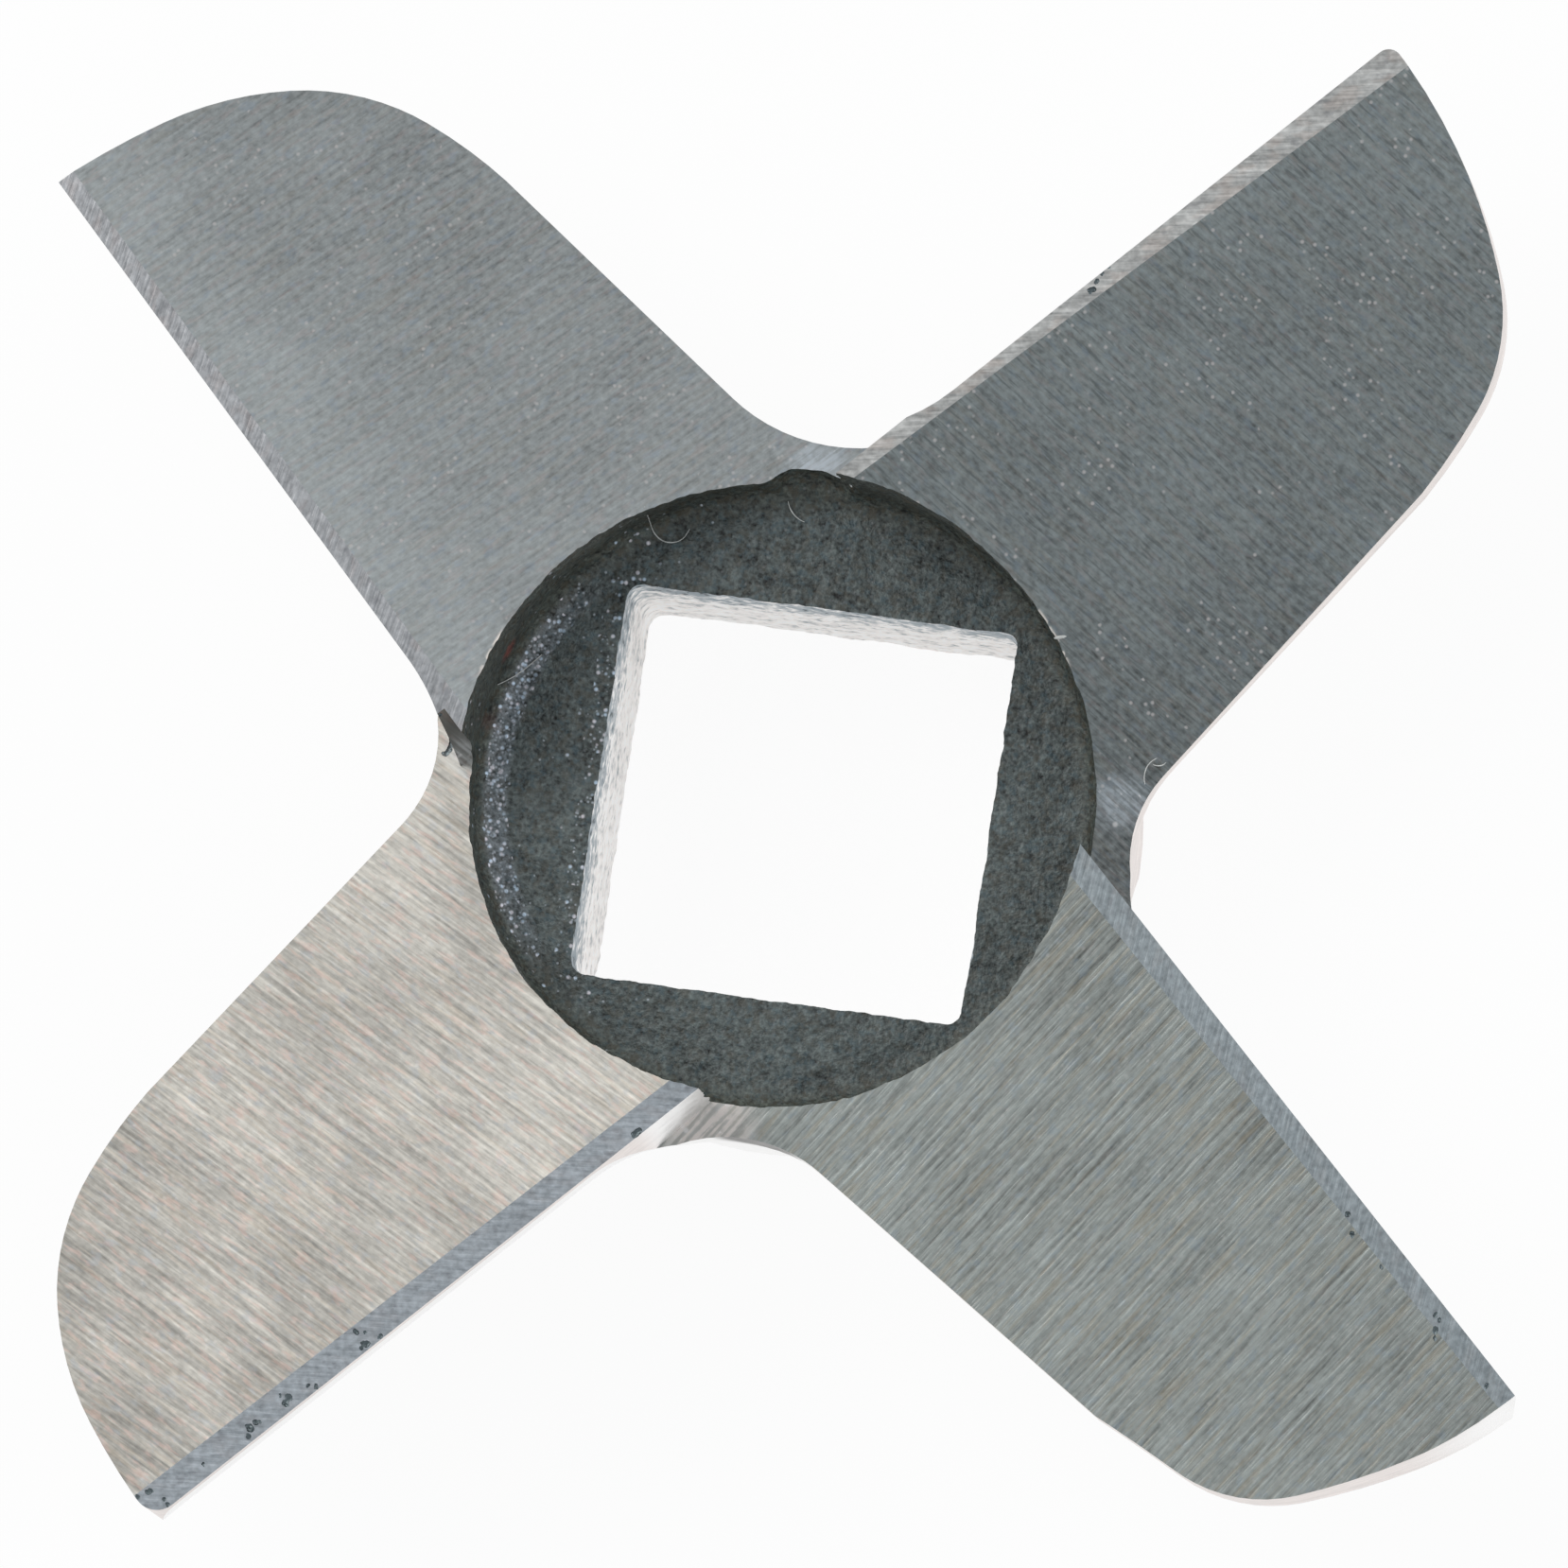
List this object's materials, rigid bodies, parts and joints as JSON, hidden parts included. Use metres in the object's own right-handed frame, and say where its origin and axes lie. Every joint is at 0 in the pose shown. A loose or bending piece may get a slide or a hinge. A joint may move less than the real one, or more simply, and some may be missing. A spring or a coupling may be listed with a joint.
{
  "type": "meat grinder knife",
  "caption": "Cross-shaped cutting knife for a meat grinder: straight-edged blades with rounded backs around a hub with a square drive hole and a round recess.",
  "frame": {"origin": "on the axis of the square drive hole, at the back face of the hub", "axes": "+Z along the axis towards the cutting face; X and Y along the sides of the drive square"},
  "size_m": [0.0527, 0.0522, 0.0103],
  "materials": {
    "ground_steel": "coarsely ground carbon steel faces, with a dark as-cast recess and hub"
  },
  "bodies": {
    "root": {"knife": "ground_steel"}
  },
  "joints": []
}
